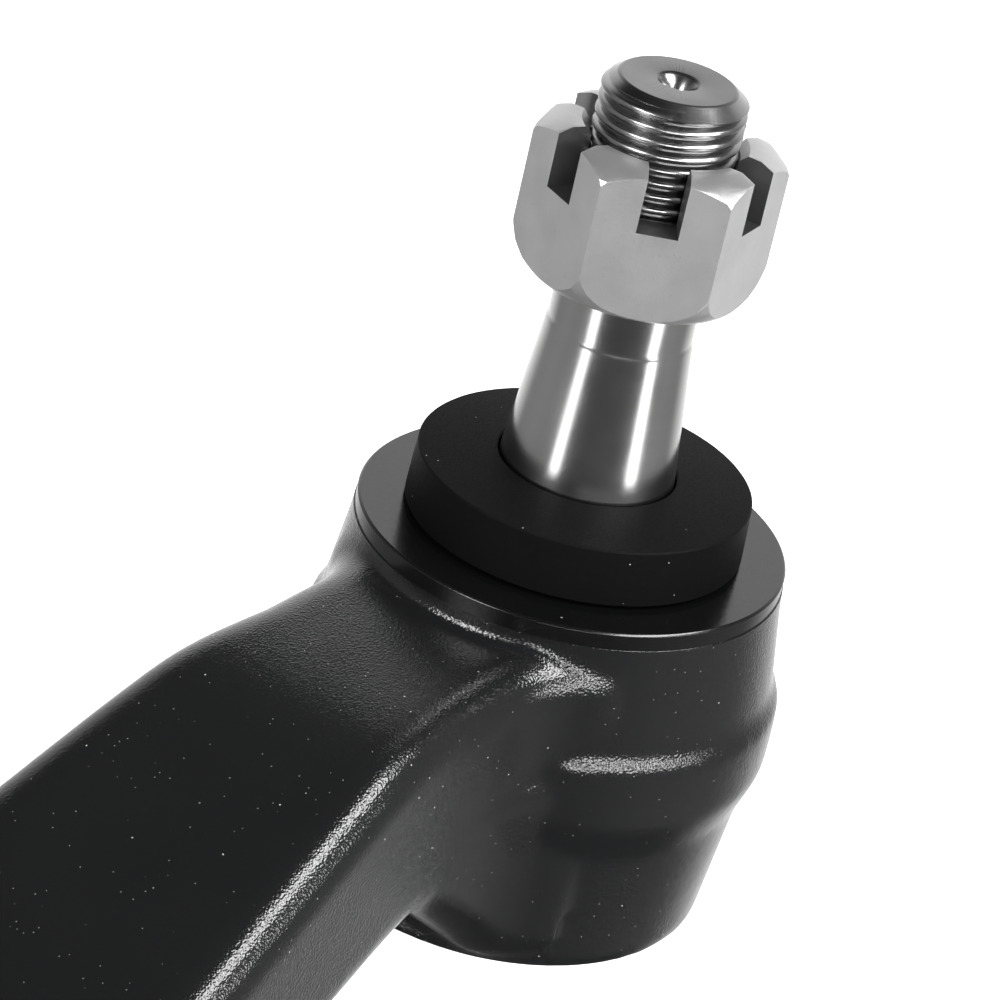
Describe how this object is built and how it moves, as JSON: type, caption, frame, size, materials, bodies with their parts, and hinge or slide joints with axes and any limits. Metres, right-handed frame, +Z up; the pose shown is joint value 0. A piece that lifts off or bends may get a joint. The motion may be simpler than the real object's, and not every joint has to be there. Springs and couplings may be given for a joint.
{
  "type": "tie rod end",
  "caption": "Forged steel tie rod end: sloping arm with a threaded shank, swivelling tapered stud with slotted hex nut, and a rubber dust seal.",
  "frame": {"origin": "centre of the ball, on the stud's axis", "axes": "+Z up along the stud towards the nut, +X level towards the arm and shank, +Y to the arm's left seen from the ball"},
  "size_m": [0.2115, 0.0538, 0.1428],
  "materials": {
    "black_coat": "semi-gloss black coating over a shot-blasted forging",
    "ground_steel": "fine ground, satin",
    "zinc_plate": "bright zinc plating, satin with fine speckle",
    "seal_rubber": "matt moulded rubber",
    "bearing_bronze": "sintered bearing metal, oiled",
    "hardened_steel": "hardened and polished",
    "spring_steel": "oiled dark spring steel"
  },
  "bodies": {
    "housing": {"housing_forging": "black_coat", "pressure_seat": "bearing_bronze", "disc_spring": "spring_steel", "cover_plate": "black_coat", "grease_fitting": "zinc_plate", "fitting_check_ball": "ground_steel", "fitting_spring": "spring_steel"},
    "bearing": {"upper_bearing": "bearing_bronze", "dust_seal": "seal_rubber"},
    "swivel": {"half_ball": "hardened_steel"},
    "stud": {"ball_stud": "ground_steel"},
    "nut": {"castle_nut": "zinc_plate"}
  },
  "joints": [
    {"name": "bearing_turn", "type": "hinge", "parent": "housing", "child": "bearing", "pos_m": [0, 0, 0], "axis": [0, 0, 1], "continuous": true},
    {"name": "stud_tilt", "type": "hinge", "parent": "bearing", "child": "swivel", "pos_m": [0, 0, 0], "axis": [0, 1, 0], "range_deg": [-18, 18], "deforming": ["dust_seal"]},
    {"name": "stud_spin", "type": "hinge", "parent": "swivel", "child": "stud", "pos_m": [0, 0, 0], "axis": [0, 0, 1], "continuous": true},
    {"name": "nut_lift_off", "type": "slide", "parent": "stud", "child": "nut", "axis": [0, 0, 1], "range_m": [0, 0.026]}
  ]
}
